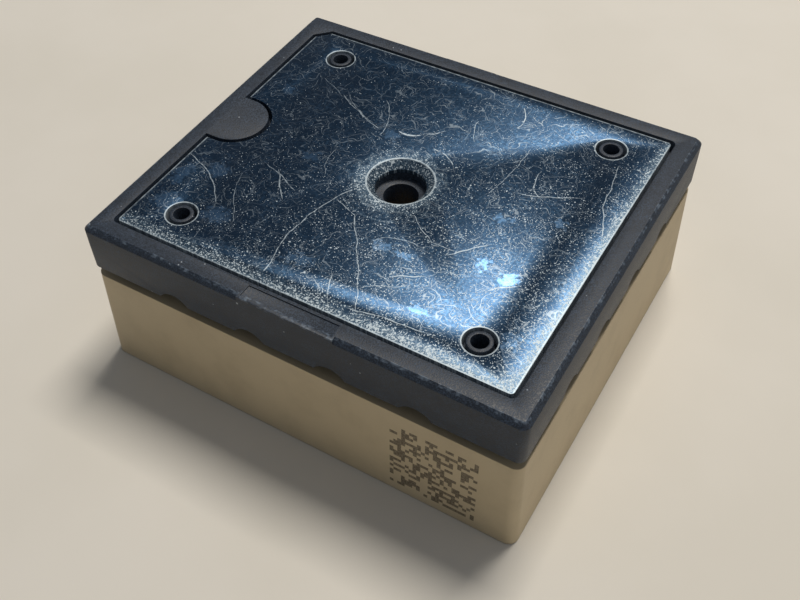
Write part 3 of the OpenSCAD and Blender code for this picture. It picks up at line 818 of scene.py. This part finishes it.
@dataclass
class Inlay:
    """What the lid and the plate share: the plate's outline and the places of the posts, in millimetres."""

    plate: Box = field(default_factory=lambda: Box.of("pressure_plate"))
    gap: float = 0.5
    cut: float = 1.75
    corner: float = 0.5
    tab: float = 4.35
    tab_inset: float = 1.1
    post_inset: Spot = (6.2, 4.7)

    def posts(self) -> list[Spot]:
        """The centres of the four posts."""
        x, y = self.plate.high.x - self.post_inset[0], self.plate.high.y - self.post_inset[1]
        return [(side * x, end * y) for side in (-1, 1) for end in (-1, 1)]

    def blank(self, name: str, grow: float, low: float, high: float) -> bpy.types.Object:
        """The plate's outline as a block, with its slanted corner and the notch for the tab.

        Args:
            name: the piece's name.
            grow: how far it is larger than the plate all round.
            low: height of its underside.
            high: height of its top.

        Returns:
            The block.
        """
        x, y = self.plate.high.x + grow, self.plate.high.y + grow
        body = block(name, (-x, -y, low), (x, y, high))
        bevel(body, lambda a, b: upright(a, b) and not (a.x < 0 < a.y), self.corner + grow / 2, 5)
        slant = self.cut + grow * (2 - math.sqrt(2))
        bevel(body, lambda a, b: upright(a, b) and a.x < -x + 0.01 and a.y > y - 0.01, slant)
        centre, radius = self.plate.low.x + self.tab_inset, self.tab + self.gap - grow
        notch = rod("notch", radius, (centre, 0, low - 1), (centre, 0, high + 1), 128)
        ends = block("notch_ends", (-x - 1, -radius, low - 1), (centre, radius, high + 1))
        join(notch, [ends], Join.ADD)
        join(body, [notch], Join.CUT)
        return body

    def rods(
        self, name: str, radius: float, low: float, high: float, sides: int = 64
    ) -> list[bpy.types.Object]:
        """A rod at each post.

        Args:
            name: the pieces' name.
            radius: their radius.
            low: height of their lower ends.
            high: height of their upper ends.
            sides: how many sides each has.

        Returns:
            The rods.
        """
        return [rod(name, radius, (x, y, low), (x, y, high), sides) for x, y in self.posts()]


@dataclass
class PressureLid:
    """The black lid: skirt with arches, pocket for the plate, tab, ribs, dome and hollow posts."""

    inlay: Inlay
    box: Box = field(default_factory=lambda: Box.of("pressure_lid"))
    copper: Box = field(default_factory=lambda: Box.of("back_copper"))
    chamfer: float = 0.64
    corner: float = 1.0
    parting_z: float = 20.2
    parting_step: float = 0.04
    parting_width: float = 0.1
    skirt: float = 1.6
    roof: float = 1.6
    rib: float = 1.5
    pad: float = 4.0
    arch_height: float = 1.15
    arch_chords: Spot = (4.15, 3.5)
    arch_pitches: Spot = (11.1, 9.2)
    post: float = 1.525
    post_bore: float = 1.05
    screw: float = 2.25
    head: float = 3.25
    head_seat: float = 1.0
    dome: float = 5.0
    bar: float = 6.45
    lug: Spot = (7.6, 0.22)
    stem_edge: float = 0.14
    field_half: float = 6.1
    field_reach: Spot = (0.42, 2.2)
    field_depth: float = 0.14
    rounding: float = 0.07
    finish: MouldedBlack = field(default_factory=MouldedBlack)

    @property
    def half(self) -> Spot:
        """Half the lid's length and half its width."""
        return (self.box.high.x, -self.box.low.y)

    def shell(self) -> bpy.types.Object:
        """The outer block with its chamfer, its round corners and the parting step along its walls.

        Returns:
            The block.
        """
        x, y = self.half
        body = block("pressure_lid_cover", (-x, -y, self.box.low.z), (x, y, self.box.high.z))
        bevel(body, upright, self.corner, 6)
        bevel(body, level_at(self.box.high.z), self.chamfer)
        with editing(body, "VERT"):
            lower = self.parting_z - self.parting_width
            for height in (self.parting_z, lower):
                bpy.ops.mesh.select_all(action="SELECT")
                bpy.ops.mesh.bisect(plane_co=(0, 0, height * MM), plane_no=(0, 0, 1))
            bpy.ops.mesh.select_all(action="DESELECT")
            for vert in bmesh.from_edit_mesh(body.data).verts:
                vert.select_set(vert.co.z < (lower + 0.01) * MM)
            bmesh.update_edit_mesh(body.data)
            narrower = [1 - self.parting_step / size for size in (x, y)]
            bpy.ops.transform.resize(value=(*narrower, 1), center_override=(0, 0, self.box.low.z * MM))
        return body

    def bays(self) -> bpy.types.Object:
        """The hollows between the ribs, as one cutter.

        Returns:
            The cutter.
        """
        x, y = (size - self.skirt for size in self.half)
        row = (self.copper.high.y * 2 - self.pad) / 2
        walls = [self.copper.high.x / 3, self.inlay.posts()[-1][0]]
        ribs = (-walls[1], -walls[0], *walls)
        edges = [-x, *(place + side * self.rib / 2 for place in ribs for side in (-1, 1)), x]
        low, high = self.box.low.z - 1, self.inlay.plate.low.z - self.roof
        boxes = []
        for side in (-1, 1):
            inner = sorted((side * self.rib / 2, side * (row - self.rib / 2)))
            outer = sorted((side * (row + self.rib / 2), side * y))
            for a, b in zip(edges[::2], edges[1::2]):
                boxes.append(block("bay", (a, inner[0], low), (b, inner[1], high)))
            boxes.append(block("bay", (-x, outer[0], low), (x, outer[1], high)))
        return merged("bays", boxes)

    def arches(self) -> bpy.types.Object:
        """The arches in the skirt's lower edge, four on each side, as one cutter.

        Returns:
            The cutter.
        """
        bars = []
        for axis, (chord, pitch) in enumerate(zip(self.arch_chords, self.arch_pitches)):
            radius = ((chord / 2) ** 2 + self.arch_height**2) / (2 * self.arch_height)
            height = self.box.low.z + self.arch_height - radius
            wall = self.half[1 - axis]
            for i in (-1.5, -0.5, 0.5, 1.5):
                for side in (-1, 1):
                    spots = [(i * pitch, side * (wall + reach)) for reach in (-self.skirt - 0.3, 1)]
                    ends = [(*(spot[::-1] if axis else spot), height) for spot in spots]
                    bars.append(rod("arch", radius, *ends, 72))
        return merged("arches", bars)

    def build(self) -> bpy.types.Object:
        """Builds the lid and dresses it.

        Returns:
            The finished lid.
        """
        x, y = self.half
        foot, top, seat = self.box.low.z, self.box.high.z, self.inlay.plate.low.z
        roof, flush = seat - self.roof, self.inlay.plate.high.z
        body = self.shell()
        pocket = self.inlay.blank("pocket", self.inlay.gap, seat, top + 1)
        join(body, [self.bays(), self.arches(), pocket], Join.CUT)

        bosses = self.inlay.rods("boss", self.post + self.skirt / 2, foot, roof + 0.5)
        dome = rod("dome", self.dome, (0, 0, foot), (0, 0, roof + 0.5), 96)
        stems = self.inlay.rods("stem", self.post, roof + 0.2, flush)
        for stem in stems:
            bevel(stem, level_at(flush), self.stem_edge, 2)
        bar = block("bar", (-self.bar, -y, top - 2 * self.chamfer), (self.bar, -y + 2 * self.chamfer, top))
        lug_foot = (-self.lug[0], y - 1, foot + self.arch_height)
        lug = block("lug", lug_foot, (0, y + self.lug[1], top - self.chamfer))
        join(body, [merged("bosses", [dome, *bosses]), merged("stems", stems), bar, lug], Join.ADD)

        bores = self.inlay.rods("bore", self.post_bore, foot + 1, top + 1, 48)
        screw = rod("screw", self.screw, (0, 0, foot - 1), (0, 0, top + 1), 96)
        head = rod("head", self.head, (0, 0, seat - self.head_seat), (0, 0, top + 1), 96)
        # a bare sunk field on the front rim, with a strip left along its outer side
        outer, inner = (reach - y for reach in self.field_reach)
        field_foot = (-self.field_half, outer, top - self.field_depth)
        bare_field = block("field", field_foot, (self.field_half, inner, top + 1))
        join(body, [merged("bores", bores), screw, head, bare_field], Join.CUT)
        soften(body, self.rounding)
        body.data.materials.append(self.finish.build())
        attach(body, "root")
        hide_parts("pressure_lid")
        return body


@dataclass
class PressurePlate:
    """The plated steel plate, with its countersunk hole, four post holes and a punch mark at one corner."""

    inlay: Inlay
    post_hole: float = 1.965
    hole: float = 3.25
    mouth: float = 4.23
    punch: Point = (0.75, 0.65, 0.26)
    punch_depth: float = 0.05
    rounding: float = 0.08
    finish: PlatedSteel = field(default_factory=PlatedSteel)

    def build(self) -> bpy.types.Object:
        """Builds the plate and dresses it.

        Returns:
            The finished plate.
        """
        low, high = self.inlay.plate.low, self.inlay.plate.high
        body = self.inlay.blank("steel_plate", 0, low.z, high.z)
        holes = self.inlay.rods("hole", self.post_hole, low.z - 1, high.z + 1)
        middle = rod("middle", self.hole, (0, 0, low.z - 1), (0, 0, high.z + 1), 128)
        deep = self.mouth - self.hole
        over = 0.02
        ends = ((0, 0, high.z - deep), (0, 0, high.z + over))
        sink = rod("sink", self.hole, *ends, 128, tip=self.mouth + over)
        spot = (low.x + self.punch[0], low.y + self.punch[1])
        mark = rod("mark", self.punch[2], (*spot, high.z - self.punch_depth), (*spot, high.z + 1), 24)
        join(body, [merged("holes", [middle, *holes]), sink, mark], Join.CUT)
        soften(body, self.rounding)
        body.data.materials.append(self.finish.build())
        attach(body, "root")
        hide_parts("pressure_plate")
        return body


@dataclass
class CarriedPieces:
    """The housing and the circuit, whose shapes come from the frame and get their finishes here."""

    housing: MouldedCream = field(default_factory=MouldedCream)

    def dress(self) -> int:
        """Gives each carried piece the finish of its material slot.

        Returns:
            How many pieces were dressed.
        """
        finishes = {slot.name: slot.value.build() for slot in Inner}
        finishes["housing_plastic"] = self.housing.build()
        dressed = 0
        for part in frame["record"]["subparts"]:
            finish = finishes.get(part["material_slot"])
            if finish:
                for slot in frame["nodes"][part["node"]].material_slots:
                    slot.material = finish
                dressed += 1
        return dressed


# ---------------------------------------------------------------- camera, light and floor


@dataclass
class Studio:
    """The camera, the lamps and the plain pale floor."""

    eye: Point = (48.97, -82.69, 108.43)
    tilt: Point = (41.993, 2.061, 31.441)
    lens: float = 46.37
    shift: Spot = (0.0437, -0.0037)

    def camera(self) -> None:
        """Sets up the camera at its place."""
        data = bpy.data.cameras.new("camera")
        data.lens = self.lens
        data.sensor_width = 36
        data.shift_x, data.shift_y = self.shift
        data.clip_start = 0.01
        camera = bpy.data.objects.new("camera", data)
        camera.location = Vector(self.eye) * MM
        camera.rotation_euler = Euler([math.radians(angle) for angle in self.tilt])
        bpy.context.scene.collection.objects.link(camera)
        bpy.context.scene.camera = camera

    def lamp(self, name: str, place: Point, size: float, power: float, tint: str) -> None:
        """Adds a square soft lamp that looks at the object.

        Args:
            name: the lamp's name.
            place: its place in millimetres.
            size: its side in millimetres.
            power: its power in watts.
            tint: its colour.
        """
        data = bpy.data.lights.new(name, "AREA")
        data.size = size * MM
        data.energy = power
        data.color = linear(tint)[:3]
        lamp = bpy.data.objects.new(name, data)
        lamp.location = Vector(place) * MM
        lamp.rotation_euler = (Vector((0, 0, 12)) - Vector(place)).to_track_quat("-Z", "Y").to_euler()
        bpy.context.scene.collection.objects.link(lamp)

    def light(self) -> None:
        """Adds the lamps and the dim pale surroundings."""
        self.lamp("softbox", (20, 250, 650), 220, 3.5, "#fff9f0")
        self.lamp("fill", (420, -60, 380), 400, 0.12, "#fff4e6")
        world = bpy.data.worlds.new("surroundings")
        world.use_nodes = True
        bpy.context.scene.world = world
        back = world.node_tree.nodes["Background"]
        back.inputs["Color"].default_value = linear("#e6eefa")
        back.inputs["Strength"].default_value = 0.17

    def floor(self) -> None:
        """Adds the floor, a wide sheet that isn't part of the object."""
        bpy.ops.object.select_all(action="DESELECT")
        bpy.ops.mesh.primitive_plane_add(size=4, location=(0, 0, -0.0001))
        sheet = bpy.context.object
        sheet.name = "floor"
        paper = Grained("pale_studio_paper", "#e6e1d7", "#e1dcd1", 40.0, rough=(0.8, 0.9), depth=0.01)
        sheet.data.materials.append(paper.build())


def main() -> None:
    """Builds the camera, the pieces and the studio in order, and logs each made piece and how many carried
    pieces were dressed.
    """
    bpy.context.scene.view_settings.view_transform = "Standard"
    studio = Studio()
    studio.camera()
    inlay = Inlay()
    for maker in (PressureLid(inlay), PressurePlate(inlay)):
        piece = maker.build()
        log.info("%s: %d faces", piece.name, len(piece.data.polygons))
    log.info("carried pieces dressed: %d", CarriedPieces().dress())
    studio.light()
    studio.floor()


if __name__ == "__main__":
    main()
